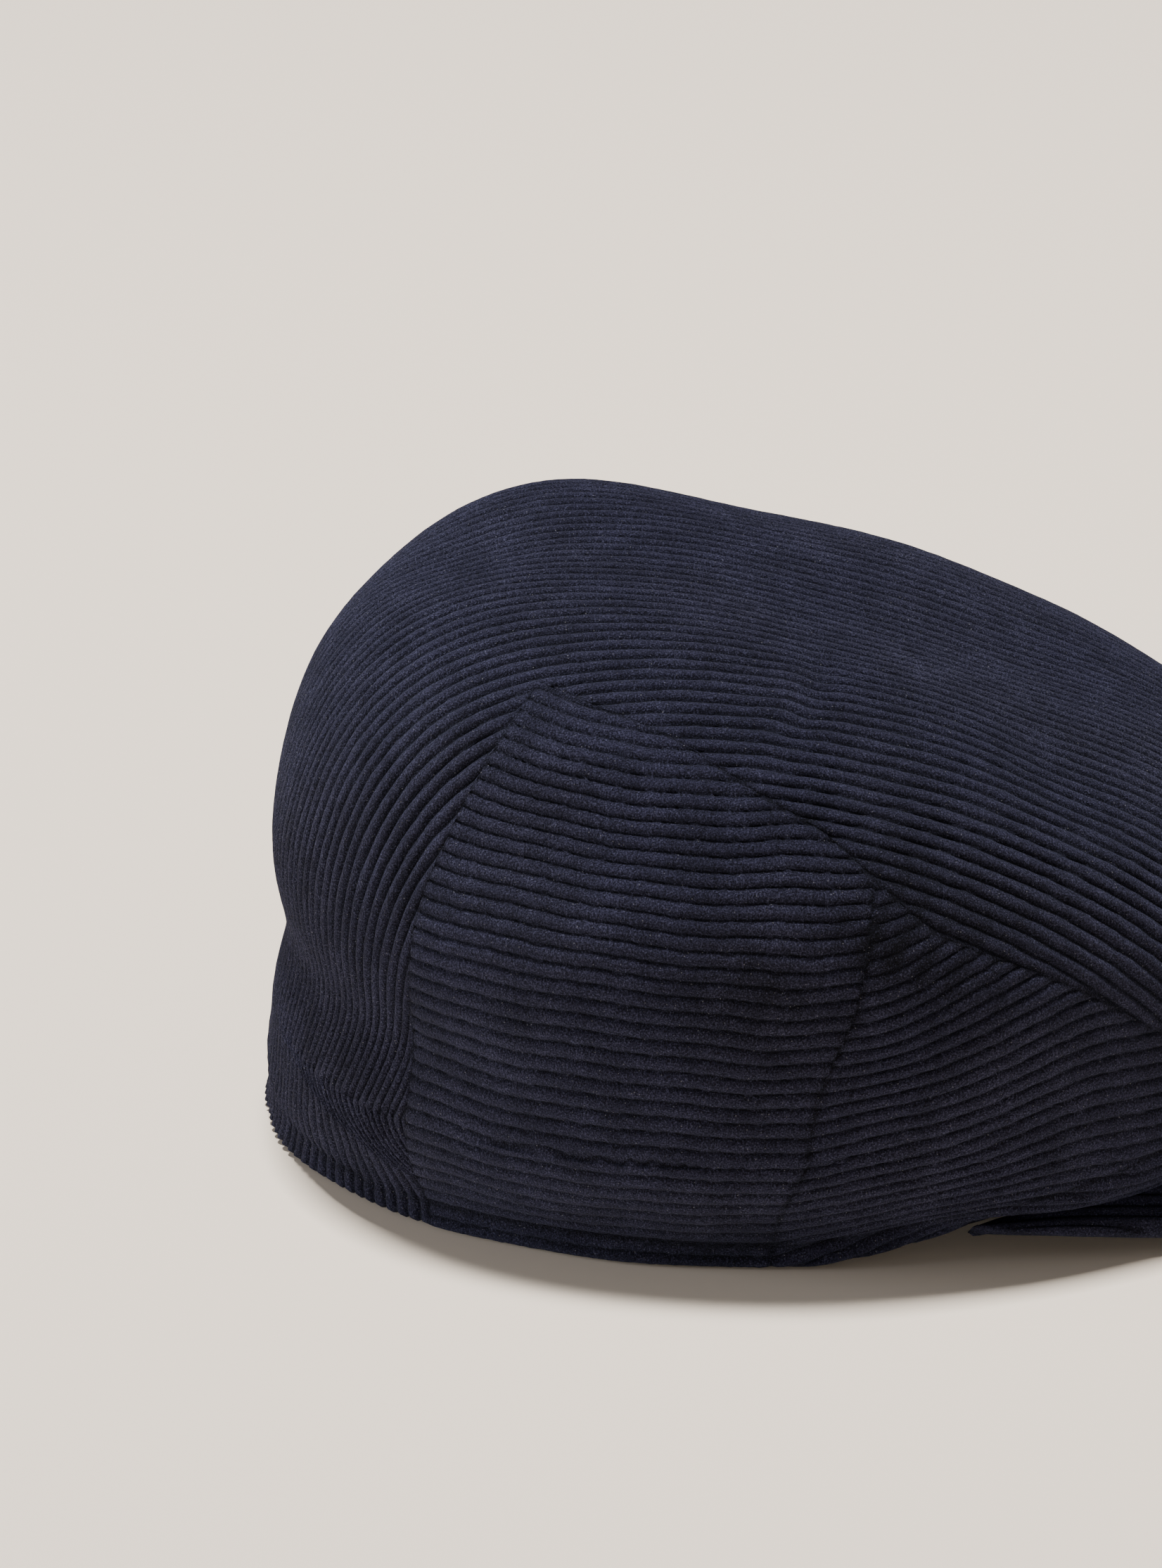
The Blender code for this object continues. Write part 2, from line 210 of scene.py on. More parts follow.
def crown_points(azimuth, depth):
    """Points of the crown's outer surface about the head's centre, for azimuths from -90 to 90."""
    azimuth, depth = np.broadcast_arrays(azimuth, depth)
    angle = np.interp(azimuth, OUTLINE_AZIMUTH, OUTLINE)
    reach = CROWN_MEAN_LENGTH - CROWN_FRONT_EXTRA * np.sin(angle)
    radius = np.hypot(CROWN_HALF_WIDTH * np.cos(angle), reach * np.sin(angle))
    edge = EDGE_HEIGHT - EDGE_FRONT_EXTRA * np.sin(angle)
    out = np.sin(np.pi / 2 * np.minimum(depth / EDGE_DEPTH, 1))
    power = SQUARENESS + BACK_SQUARENESS * np.sin(angle)
    y = radius * out * np.sin(np.radians(azimuth))
    top = TOP_HEIGHT + TOP_SLOPE * y + TOP_CURVE * y * y
    rise = np.maximum(1 - np.abs(out) ** power, 0) ** (1 / power)
    upper = placed(azimuth, radius * out, edge + (top - edge) * rise)
    hem, low = hem_radius(azimuth), hem_height(azimuth)
    hem_y = hem * np.sin(np.radians(azimuth))
    ahead = smooth((HEM_RISE_START_Y - hem_y) / FRONT_WALL_BLEND)
    pull_r = hem + WALL_FOOT_OUT + ahead * (0.5 * (radius - hem) - WALL_FOOT_OUT)
    temple, middle, width = TEMPLE_FOOT_DROP
    foot = WALL_FOOT_HEIGHT - FRONT_FOOT_DROP * ahead - temple * bump(azimuth, middle, width)
    pull_z = low + foot
    drop = eased(UNDER_BULGE, azimuth)
    t = np.clip((depth - EDGE_DEPTH) / (1 - EDGE_DEPTH), 0, 1)
    w = [(1 - t) ** 3, 3 * t * (1 - t) ** 2, 3 * t * t * (1 - t), t ** 3]
    lower = placed(azimuth, w[0] * radius + w[1] * radius + w[2] * pull_r + w[3] * hem,
                   w[0] * edge + w[1] * (edge - drop) + w[2] * pull_z + w[3] * low)
    points = np.where((depth <= EDGE_DEPTH)[..., None], upper, lower)
    above = points[..., 2] - low
    points[..., 2] += HEM_ROLL * np.clip(1 - above / HEM_CURL_HEIGHT, 0, 1) ** 2
    return points


def crown_normals(azimuth, depth):
    """Outward normals of crown_points, from differences, and level with the top at its middle."""
    step, degrees = 0.004, 0.3
    down = crown_points(azimuth, np.minimum(depth + step, 1)) - crown_points(azimuth, depth - step)
    turn = np.clip(azimuth, degrees - 90, 90 - degrees)
    along = crown_points(turn + degrees, depth) - crown_points(turn - degrees, depth)
    normal = np.cross(down, along)
    normal /= np.maximum(np.linalg.norm(normal, axis=-1, keepdims=True), 1e-12)
    # A normal that points inward is turned round. High up, upward counts as outward.
    out = placed(azimuth, 1.0, 0.0)
    facing = (normal * out).sum(-1) + normal[..., 2] * (depth < EDGE_DEPTH / 2) * 9
    normal = np.where((facing < 0)[..., None], -normal, normal)
    top = np.broadcast_to(np.array([0, -TOP_SLOPE, 1]) / np.hypot(1, TOP_SLOPE), normal.shape)
    away = smooth((depth - 0.01) / 0.05)[..., None]
    normal = top * (1 - away) + normal * away
    return normal / np.linalg.norm(normal, axis=-1, keepdims=True)


def seam_depth(azimuth):
    return eased(SIDE_SEAM, azimuth)


def with_hem_turn(azimuth, depth, past):
    """Points and normals, where past is the length of cloth beyond the hem's lower edge."""
    points = crown_points(azimuth, depth)
    normals = crown_normals(azimuth, depth)
    turn = np.radians(azimuth)
    length = np.where(turn > 0, HEM_BACK, HEM_FRONT)
    out = np.stack([-np.cos(turn) / HEM_HALF_WIDTH ** 2, np.sin(turn) / length ** 2, 0 * turn], -1)
    out /= np.linalg.norm(out, axis=-1, keepdims=True)
    up = np.array([0.0, 0.0, 1.0])
    angle = np.clip(past / HEM_ROLL, 0, np.pi)[..., None]
    straight = np.maximum(past - np.pi * HEM_ROLL, 0)[..., None]
    rolled = np.cos(angle) * out - np.sin(angle) * up
    turned = points + HEM_ROLL * (rolled - out) + straight * up
    beyond = (past > 0)[..., None]
    return np.where(beyond, turned, points), np.where(beyond, rolled, normals)


# How far the worn cloth is pushed out, in millimetres, then the weights of that push along x, y
# and z, also in millimetres.
PUSHES = (
    (-2.9, anywhere, over(50, 35), at(39, 10)),         # the waist behind
    (1.2, anywhere, over(50, 35), at(64, 12)),          # the roll above the waist
    (1.0, anywhere, at(84, 28), over(60, 25)),          # the fuller back of the crown
    (4.6, at(46, 24), at(40, 26), over(60, 30)),        # the fuller left side
    (-2.0, at(10, 18), at(62, 14), over(70, 25)),       # a dip behind the top
    (-2.8, at(-8, 22), at(-38, 34), over(50, 25)),      # a dip over the forehead
    (2.6, at(28, 20), at(-30, 44), over(50, 25)),       # a swell beside it
    (-4.5, at(-70, 22), at(42, 34), at(86, 15)),        # the sloping right shoulder
    (-1.6, at(-62, 12), at(-14, 10), at(84, 12)),       # a dent over the temple's corner
    (0.9, at(-66, 12), at(6, 9), at(86, 12)),           # the roll behind that dent
    (-1.3, at(-50, 16), at(-52, 13), over(50, 14)),     # a dent ahead of it
)
# A crease across the right temple, by distance from it and by x.
CREASES = (
    (-0.9, at(4, 3.2), at(-52, 17)),
    (0.5, at(11, 3.6), at(-54, 16)),
)


def ripple(x, y, z):
    """Gentle waves all over the crown, in millimetres."""
    wave = np.sin(x / 17 + 1.3) * np.sin(y / 23 + 0.4) + 0.7 * np.sin(x / 9 - y / 14 + z / 16)
    return 0.35 * (wave + 0.5 * np.sin(y / 8.5 + z / 11 + 2.0)) * smooth(z / 14)


def rumpled(points, normals):
    """The soft, uneven way the worn cloth falls, and its pressed hem."""
    x, y, z = np.moveaxis(points * 1000, -1, 0)
    azimuth = np.degrees(np.arctan2(y, np.abs(x) + 1e-9))
    above = z - hem_height(azimuth) * 1000
    push = ripple(x, y, z)
    for amount, in_x, in_y, in_z in PUSHES:
        push += amount * in_x(x) * in_y(y) * in_z(z)
    crease = y + 0.35 * (z - 88) + 3 * np.sin(x / 9)
    for amount, beside, in_x in CREASES:
        push += amount * beside(crease) * in_x(x) * smooth((z - 66) / 12)
    push *= smooth((z - 3) / 12)
    # At the hem: the line of stitches, the ripples above it and the fuller band below it.
    around = azimuth * np.sign(x + 1e-9)
    push -= (0.60 + 0.30 * np.sin(around / 7)) * bump(above, STITCH_HEIGHT * 1000, 1.2)
    push += 0.30 * np.sin(around / 3.1) * bump(above, 12, 4)
    band = 1.3 * bump(above, 1.0, 2.3) * (1 + 0.3 * np.sin(around / 4.3 + 1))
    outward = normals * np.array([1.0, 1.0, 0.0])
    return points + normals * (push / 1000)[..., None] + outward * (band / 1000)[..., None]


def fine(x):
    """A small wander, from about -1 to 1, for pile that differs from wale to wale."""
    return np.sin(x * 1.7) * 0.5 + np.sin(x * 3.1 + 1.0) * 0.3 + np.sin(x * 5.3 + 2.0) * 0.2


# ------------------------------------------------------------------ meshes

def wale_profile(steps, wander=0.0, power=SIDE_POWER):
    """Height of the pile from 0 in the groove to 1 on the ridge, for steps across the cloth."""
    return np.abs(np.cos(np.pi * ((steps + wander) % STEPS) / STEPS)) ** power


# Where handling has pressed the right side's pile flat: a share, and its weights along y and z in
# millimetres. The patches are by the temple's corner, except the last, at the hem.
PRESSED = (
    (1.0, at(-14, 9), at(74, 11)),
    (0.8, at(-28, 13), at(66, 9)),
    (0.5, at(12, 14), at(60, 9)),
    (0.6, at(18, 12), at(4, 6)),
)


def crush(points):
    """How far the pile is pressed flat, from 0 to 1."""
    x, y, z = np.moveaxis(points * 1000, -1, 0)
    patch = sum(share * in_y(y) * in_z(z) for share, in_y, in_z in PRESSED)
    patch *= smooth((-x - 40) / 20)
    patch *= 0.7 + 0.5 * np.sin(x / 2.9 + y / 1.7) * np.sin(z / 2.3 + y / 3.1)
    return np.clip(patch, 0, 1)


def linked_object(name, mesh):
    mesh.shade_smooth()
    obj = bpy.data.objects.new(name, mesh)
    bpy.context.scene.collection.objects.link(obj)
    return obj


def grid_quads(index, flip):
    quads = np.stack([index[:-1, :-1], index[1:, :-1], index[1:, 1:], index[:-1, 1:]], -1)
    quads = quads.reshape(-1, 4)
    return quads[:, ::-1] if flip else quads


def set_ridge_shade(mesh, values):
    """The pile's height, with painted shade along the seams and the hem's stitches, which the
    corduroy material reads.
    """
    ridge = mesh.attributes.new("ridge", "FLOAT", "POINT")
    ridge.data.foreach_set("value", values.astype(np.float32))


def speckle(row, column):
    """A value from 0 to 1 for each point, like noise but with no random draw."""
    mark = np.sin(row * 127.1 + column * 311.7) * 43758.5
    return mark - np.floor(mark)


def cloth_mesh(name, points, normals, steps, ends, edge_gaps, flip,
               power=SIDE_POWER, deeper=1.0):
    """A corduroy panel. Rows run across the wales, and each row is kept from ends[0] to ends[1].

    points and normals are (rows, columns, 3); steps is the step count of each column from a
    groove; edge_gaps is the distance of each point from the panel's seams, in metres.
    """
    rows, columns = points.shape[:2]
    first, last = ends
    row_index = np.arange(rows)[:, None]
    column_index = np.arange(columns)[None, :]
    wale = np.floor(steps / STEPS + 0.5)[None, :]
    groove = np.floor(steps / STEPS)[None, :]
    wander = WALE_WANDER * fine(row_index * 0.45 + groove * 4.7)
    height = wale_profile(steps[None, :], wander, power)
    uneven = 1 + WALE_UNEVENNESS * fine(row_index * 0.7 + wale * 2.4)
    open_ = smooth(edge_gaps / SEAM_REACH)
    pucker = 0.5 + 0.5 * np.sin((points[..., 1] + points[..., 2]) * PUCKER_RATE)
    quiet = smooth((points[..., 1] - QUIET_SEAM_START) / QUIET_SEAM_BLEND)
    pucker = pucker * (1 - 0.85 * quiet)
    sink = SEAM_SINK * (1 - smooth(edge_gaps / SEAM_SINK_REACH)) * (0.6 + 0.6 * pucker)
    crushed = 1 - CRUSH_LOSS * crush(points)
    push = (height - 1) * RELIEF * deeper * uneven * crushed * (0.35 + 0.65 * open_) - sink
    push = push + TUFT_HEIGHT * (speckle(row_index, column_index) - 0.5) * open_
    placed_points = rumpled(points, normals) + normals * push[..., None]
    placed_points[..., 1] += HEAD_CENTRE_Y
    kept = np.clip(column_index, first[:, None], last[:, None])
    faces = []
    for quad in grid_quads(row_index * columns + kept, flip).tolist():
        face = [a for k, a in enumerate(quad) if a != quad[k - 1]]
        if len(face) > 2:
            faces.append(face)
    used = np.unique(np.concatenate([np.array(face) for face in faces]))
    renumber = np.full(rows * columns, -1)
    renumber[used] = np.arange(len(used))
    mesh = bpy.data.meshes.new(name)
    flat = placed_points.reshape(-1, 3)[used]
    mesh.from_pydata(flat.tolist(), [], [[int(renumber[a]) for a in face] for face in faces])
    azimuth = np.degrees(np.arctan2(points[..., 1], np.abs(points[..., 0]) + 1e-9))
    above = points[..., 2] - hem_height(azimuth)
    # Painted shade: a dark line along the hem's stitches and dark dashes along the puckered seams.
    seam_stitch_shade = 1 - 0.6 * bump(above, STITCH_HEIGHT, STITCH_SHADE)
    seam_stitch_shade = seam_stitch_shade * (1 - 0.6 * pucker * (1 - smooth(edge_gaps / SEAM_SHADE_REACH)))
    # Near a seam the pile is also darkened, as painted shade.
    set_ridge_shade(mesh, (height * crushed * (0.6 + 0.4 * open_) * seam_stitch_shade).reshape(-1)[used])
    return linked_object(name, mesh)


def lengths_along(track, axis):
    """The length of each polyline of points from its start, with the points along an axis."""
    pieces = np.linalg.norm(np.diff(track, axis=axis), axis=-1)
    gone = np.cumsum(pieces, axis)
    return np.concatenate([np.zeros_like(np.take(gone, [0], axis)), gone], axis)


def swaying(across, grid, corner):
    """Wales that waver a little, more so high up by the corner and not at all at the hem."""
    sway = np.sin(across * 9 + grid * 70) + 0.7 * np.sin(across * 23 - grid * 45)
    loose = CORNER_SWAY * bump(across, corner, 0.22) * smooth((grid - 0.03) / 0.03)
    return grid + (WALE_SWAY + loose) * sway * smooth(grid / 0.012)


def side_panel(name, start, end, mirrored, tilt, corner):
    """A side panel: its wales run from seam to seam along the head, stacked up from the hem.

    start and end give the azimuths of its two seams for a share of the way up them, tilt lifts
    its wales by the share of the way from start to end, and corner is the share they waver at.
    """
    columns, levels = 96, 260
    across = np.linspace(0, 1, columns)
    shares = np.linspace(0, 1, levels)
    first, last = start(shares), end(shares)
    azimuth = first[None, :] + across[:, None] * (last - first)[None, :]
    depth = 1 + shares[None, :] * (seam_depth(azimuth) - 1)
    length = lengths_along(crown_points(azimuth, depth), 1)
    shift = tilt(across)
    below = int(np.ceil((HEM_TURN + shift.max()) / STEP))
    above = int(np.ceil((length[:, -1] - shift).max() / STEP)) + 1
    steps = np.arange(-below, above + 1)
    grid = swaying(across[:, None], steps[None, :] * STEP + shift[:, None], corner)
    ends_at = length[:, -1]
    reached = np.clip(grid, 0, ends_at[:, None])
    share = np.stack([np.interp(reached[i], length[i], shares) for i in range(columns)])
    az = np.stack([np.interp(share[i], shares, azimuth[i]) for i in range(columns)])
    dp = np.stack([np.interp(share[i], shares, depth[i]) for i in range(columns)])
    past = np.clip(-grid, 0, HEM_TURN)
    points, normals = with_hem_turn(az, dp, past)
    low = np.searchsorted(steps * 1.0, np.floor((-HEM_TURN - shift) / STEP))
    high = np.array([np.searchsorted(grid[i], ends_at[i]) for i in range(columns)])
    width = lengths_along(points, 0)
    side_gap = np.minimum(width, width[-1:] - width)
    gaps = np.minimum(side_gap, np.maximum(ends_at[:, None] - grid, 0))
    if mirrored:
        points = points * np.array([-1, 1, 1])
        normals = normals * np.array([-1, 1, 1])
    return cloth_mesh(name, points, normals, steps, (low, high), gaps, flip=not mirrored)


def top_panel(name):
    """The top panel: its wales run from the nape over the top to the peak, out from the middle."""
    row_gap, half_width, samples = 0.0026, 0.150, 900
    line = np.linspace(1, -1, 1601)
    angle = np.where(line >= 0, 90.0, -90.0)
    length = lengths_along(crown_points(angle, np.abs(line)), 0)
    count = int(length[-1] / row_gap)
    middles = np.interp(np.linspace(0, length[-1], count), length, line)
    reach = int(half_width / STEP)
    steps = np.arange(0, reach)
    spots, lengths = [], []
    for middle in middles:
        bend = np.sign(middle) * middle ** 2
        p = np.sin(np.linspace(0, np.pi / 2, samples))
        q = middle - bend * (1 - np.sqrt(1 - p ** 2))
        depth = np.hypot(p, q)
        inside = depth <= 1.0 + 1e-9
        outline = np.arctan2(q, np.maximum(p, 1e-9))
        azimuth = np.interp(outline, OUTLINE, OUTLINE_AZIMUTH)
        beside = (azimuth > FRONT_SEAM) & (azimuth < eased(BACK_SEAM_LINE, depth))
        inside &= ~(beside & (depth > seam_depth(azimuth)))
        stop = len(p) if inside.all() else max(int(np.argmin(inside)), 2)
        azimuth, depth = azimuth[:stop], np.minimum(depth[:stop], 1)
        if stop < len(p):
            if azimuth[-1] >= eased(BACK_SEAM_LINE, depth[-1]):
                azimuth[-1] = eased(BACK_SEAM_LINE, depth[-1])
            elif azimuth[-1] <= FRONT_SEAM:
                azimuth[-1] = FRONT_SEAM
            else:
                depth[-1] = seam_depth(azimuth[-1])
        along = lengths_along(crown_points(azimuth, depth), 0)
        wanted = np.minimum(steps * STEP, along[-1])
        spots.append((np.interp(wanted, along, azimuth), np.interp(wanted, along, depth)))
        lengths.append(along[-1])
    lengths = np.array(lengths)
    azimuth = np.stack([spot[0] for spot in spots])
    depth = np.stack([spot[1] for spot in spots])
    past = np.zeros_like(depth)
    turns = np.linspace(0, HEM_TURN, 9)[1:][::-1]
    azimuth = np.concatenate([np.repeat(azimuth[:1], len(turns), 0), azimuth])
    depth = np.concatenate([np.repeat(depth[:1], len(turns), 0), depth])
    past = np.concatenate([turns[:, None] + 0 * past[:1], past])
    lengths = np.concatenate([np.repeat(lengths[:1], len(turns)), lengths])
    points, normals = with_hem_turn(azimuth, depth, past)
    mirror = np.array([-1, 1, 1])
    points = np.concatenate([points[:, :0:-1] * mirror, points], 1)
    normals = np.concatenate([normals[:, :0:-1] * mirror, normals], 1)
    steps = np.arange(-reach + 1, reach)
    ends = np.ceil(lengths / STEP).astype(int)
    first, last = reach - 1 - ends, reach - 1 + ends
    gaps = np.maximum(lengths[:, None] - np.abs(steps)[None, :] * STEP, 0)
    return cloth_mesh(name, points, normals, steps, (first, last), gaps, True,
                      TOP_POWER, TOP_DEEPER)


def peak_height(azimuth, radius):
    """Height of the peak's upper side, and its thickness there."""
    full = np.clip((PEAK_TIP - azimuth) / PEAK_THICKENING, 0, 1)
    thick = PEAK_TIP_THICKNESS + (PEAK_THICKNESS - PEAK_TIP_THICKNESS) * full
    near = hem_radius(azimuth)
    across = (radius - near) / (eased(PEAK_OUTLINE, azimuth) - near)
    root = hem_height(azimuth) - PEAK_ROOT_DROP
    edge = eased(PEAK_EDGE_HEIGHT, azimuth) + thick
    return root + (edge - root) * across - PEAK_SAG * np.sin(np.pi * across) * full, thick


def peak_cover(name, upper):
    """A cover of the peak, its wales running straight ahead, rolled over at its edge.

    Each column of the mesh runs ahead from the root to the outline. The columns are a step apart,
    and closer at the two tips.
    """
    samples, rows, tip_columns = 700, 84, 17
    azimuths = np.linspace(PEAK_TIP, -90, samples)
    outline = placed(azimuths, eased(PEAK_OUTLINE, azimuths), 0.0)
    root = placed(azimuths, hem_radius(azimuths) + PEAK_ROOT_OUT, 0.0)
    widest = int(np.argmax(-outline[:, 0]))
    back_x = np.concatenate([-root[::-1, 0], -outline[:widest + 1, 0]])
    back_y = np.concatenate([root[::-1, 1], outline[:widest + 1, 1]])
    front_x, front_y = -outline[widest:, 0][::-1], outline[widest:, 1][::-1]
    half = back_x.max() - 1e-6
    reach = int(half / STEP) - 3
    spread = np.sin(np.linspace(0, np.pi / 2, tip_columns))[1:]
    tip = reach * STEP + (half - reach * STEP) * spread
    x = np.concatenate([np.arange(0, reach + 1) * STEP, tip])
    x = np.concatenate([-x[:0:-1], x])
    share = 1 - (1 - np.linspace(0, 1, rows)) ** 1.6
    start = np.interp(np.abs(x), back_x, back_y)
    stop = np.interp(np.abs(x), front_x, front_y)
    y = start[None, :] + share[:, None] * (stop - start)[None, :]
    xx = np.broadcast_to(x, y.shape)
    azimuth = np.degrees(np.arctan2(y, np.abs(xx)))
    azimuth = np.clip(azimuth, -90, PEAK_TIP)
    radius = np.hypot(xx, y)
    z, thick = peak_height(azimuth, radius)
    gap = np.maximum(eased(PEAK_OUTLINE, azimuth) - radius, 0) * 0.9
    gap = np.minimum(gap, np.radians(PEAK_TIP - azimuth) * radius)
    roll = thick / 2 * (1 - np.sqrt(1 - (1 - np.clip(gap / PEAK_ROLL, 0, 1)) ** 2))
    side = 1 if upper else -1
    z = z - thick / 2 + side * (thick / 2 - roll)
    points = np.stack([xx, y, z], -1)
    slope_y = np.gradient(z, axis=0) / np.minimum(np.gradient(y, axis=0), -1e-6)
    slope_x = np.gradient(z, x, axis=1)
    slope_x, slope_y = np.clip(slope_x, -1.5, 1.5), np.clip(slope_y, -1.5, 1.5)
    normals = np.stack([-slope_x, -slope_y, np.ones_like(z)], -1) * side
    normals /= np.linalg.norm(normals, axis=-1, keepdims=True)
    height = wale_profile(x / STEP)[None, :] * np.ones((rows, 1))
    push = (height - 1) * RELIEF * PEAK_RELIEF * (0.3 + 0.7 * smooth(gap / PEAK_FADE))
    points = points + normals * push[..., None]
    points[..., 1] += HEAD_CENTRE_Y
    index = np.arange(rows * len(x)).reshape(rows, len(x))
    mesh = bpy.data.meshes.new(name)
    mesh.from_pydata(points.reshape(-1, 3).tolist(), [], grid_quads(index, not upper).tolist())
    set_ridge_shade(mesh, height.reshape(-1))
    return linked_object(name, mesh)


# ------------------------------------------------------------------ materials

# Linear colours of the corduroy: painted shade for its grooves, its ridges, a painted highlight
# for the fibres' pale ends, and the lint.
GROOVE_SHADE_BLUE = (0.0016, 0.0016, 0.0034, 1)
RIDGE_BLUE = (0.0150, 0.0148, 0.0288, 1)
FIBRE_GLINT_BLUE = (0.070, 0.072, 0.118, 1)
LINT_GREY = (0.20, 0.20, 0.22, 1)
# The satin's two blues: painted shade in its creases' hollows and painted sheen on their crowns.
SATIN_SHADE_BLUES = (0.012, 0.013, 0.024, 1), (0.026, 0.028, 0.045, 1)
PAPER = (0.86, 0.750, 0.625, 1)


def tint(red, green, blue):
    """A colour that multiplies another."""
    return (red, green, blue, 1)


class Nodes:
    """Makes a node material step by step."""

    def __init__(self, name):
        self.material = bpy.data.materials.new(name)
        self.material.use_nodes = True
        self.tree = self.material.node_tree
        self.shader = self.tree.nodes["Principled BSDF"]

    def add(self, kind, **values):
        node = self.tree.nodes.new(kind)
        for key, value in values.items():
            if hasattr(node, key):
                setattr(node, key, value)
            else:
                node.inputs[key.replace("_", " ")].default_value = value
        return node

    def link(self, source, target):
        self.tree.links.new(source, target)

    def maths(self, operation, a, b=0.5):
        node = self.add("ShaderNodeMath", operation=operation)
        for socket, value in zip(node.inputs, (a, b)):
            if isinstance(value, (int, float)):
                socket.default_value = value
            else:
                self.link(value, socket)
        return node.outputs[0]

    def mix(self, factor, a, b, blend="MIX"):
        node = self.add("ShaderNodeMix", data_type="RGBA", blend_type=blend)
        for socket, value in ((node.inputs[0], factor), (node.inputs[6], a), (node.inputs[7], b)):
            if isinstance(value, (int, float, tuple)):
                socket.default_value = value
            else:
                self.link(value, socket)
        return node.outputs[2]

    def ramp(self, source, low, high):
        node = self.add("ShaderNodeMapRange")
        self.link(source, node.inputs["Value"])
        node.inputs["From Min"].default_value = low
        node.inputs["From Max"].default_value = high
        return node.outputs["Result"]


def corduroy_material():
    """Navy pile over the modelled wales: painted shade in the grooves, speckled tufts, a painted
    highlight on fibre ends, wear and a little lint.
    """
    m = Nodes("navy corduroy")
    position = m.add("ShaderNodeTexCoord").outputs["Object"]
    ridge = m.add("ShaderNodeAttribute", attribute_name="ridge").outputs["Fac"]

    def noise(**values):
        node = m.add("ShaderNodeTexNoise", **values)
        m.link(position, node.inputs["Vector"])
        return node.outputs["Fac"]

    tuft = noise(Scale=2300.0, Detail=3.0, Roughness=0.7)
    fibre = noise(Scale=2900.0, Detail=2.5, Roughness=0.75)
    blotch = noise(Scale=95.0, Detail=5.0, Roughness=0.65)
    worn = noise(Scale=22.0, Detail=3.0)
    rare = noise(Scale=500.0)
    ragged = m.maths("MULTIPLY", m.maths("SUBTRACT", tuft, 0.5), 1.2)
    ragged = m.maths("ADD", ridge, ragged)
    # Painted shade: where the ridge value is low, in the grooves, the pile takes the dark groove
    # colour.
    base = m.mix(m.ramp(ragged, 0.24, 0.92), GROOVE_SHADE_BLUE, RIDGE_BLUE)
    grain = m.mix(m.ramp(fibre, 0.36, 0.64), tint(0.20, 0.20, 0.22), tint(2.05, 2.05, 2.05))
    base = m.mix(1.0, base, grain, "MULTIPLY")
    # Painted highlight: pale fibre ends catching the light on the ridges.
    pale = m.maths("MULTIPLY", m.ramp(fibre, 0.56, 0.72), m.ramp(ridge, 0.0, 0.6))
    base = m.mix(m.maths("MULTIPLY", pale, 0.85), base, FIBRE_GLINT_BLUE)
    blotches = m.mix(m.ramp(blotch, 0.35, 0.65), tint(0.70, 0.70, 0.72), tint(1.18, 1.18, 1.18))
    base = m.mix(1.0, base, blotches, "MULTIPLY")
    wear = m.mix(m.ramp(worn, 0.4, 0.7), tint(0.95, 0.95, 1.0), tint(1.10, 1.09, 1.06))
    base = m.mix(1.0, base, wear, "MULTIPLY")
    lint = m.add("ShaderNodeTexVoronoi", Scale=900.0)
    m.link(position, lint.inputs["Vector"])
    speck = m.maths("LESS_THAN", lint.outputs["Distance"], 0.10)
    speck = m.maths("MULTIPLY", speck, m.ramp(rare, 0.43, 0.60))
    base = m.mix(m.maths("MULTIPLY", speck, 0.6), base, LINT_GREY)
    m.link(base, m.shader.inputs["Base Color"])
    m.shader.inputs["Roughness"].default_value = 0.95
    m.shader.inputs["Specular IOR Level"].default_value = 0.10
    m.shader.inputs["Sheen Weight"].default_value = 0.065
    m.shader.inputs["Sheen Roughness"].default_value = 0.38
    m.shader.inputs["Sheen Tint"].default_value = (0.55, 0.62, 1.0, 1)
    pile = m.add("ShaderNodeBump", Strength=1.0, Distance=0.0006)
    m.link(m.maths("ADD", tuft, fibre), pile.inputs["Height"])
    m.link(pile.outputs["Normal"], m.shader.inputs["Normal"])
    return m.material


def satin_material():
    """Dark blue lining satin, softly creased, with painted shade in the creases' hollows and
    painted sheen on their crowns.
    """
    m = Nodes("lining satin")
    position = m.add("ShaderNodeTexCoord").outputs["Object"]
    weave = m.add("ShaderNodeTexNoise", Scale=3200.0, Detail=1.0)
    crease = m.add("ShaderNodeTexNoise", Scale=38.0, Detail=3.0, Distortion=0.8)
    m.link(position, weave.inputs["Vector"])
    m.link(position, crease.inputs["Vector"])
    # Painted shade and sheen: darker in the creases' hollows, lighter on their crowns.
    base = m.mix(m.ramp(crease.outputs["Fac"], 0.3, 0.7), *SATIN_SHADE_BLUES)
    m.link(base, m.shader.inputs["Base Color"])
    m.shader.inputs["Roughness"].default_value = 0.42
    m.shader.inputs["Sheen Weight"].default_value = 0.25
    soft = m.add("ShaderNodeBump", Strength=0.35, Distance=0.003)
    m.link(crease.outputs["Fac"], soft.inputs["Height"])
    small = m.add("ShaderNodeBump", Strength=0.15, Distance=0.0001)
    m.link(weave.outputs["Fac"], small.inputs["Height"])
    m.link(soft.outputs["Normal"], small.inputs["Normal"])
    m.link(small.outputs["Normal"], m.shader.inputs["Normal"])
    return m.material


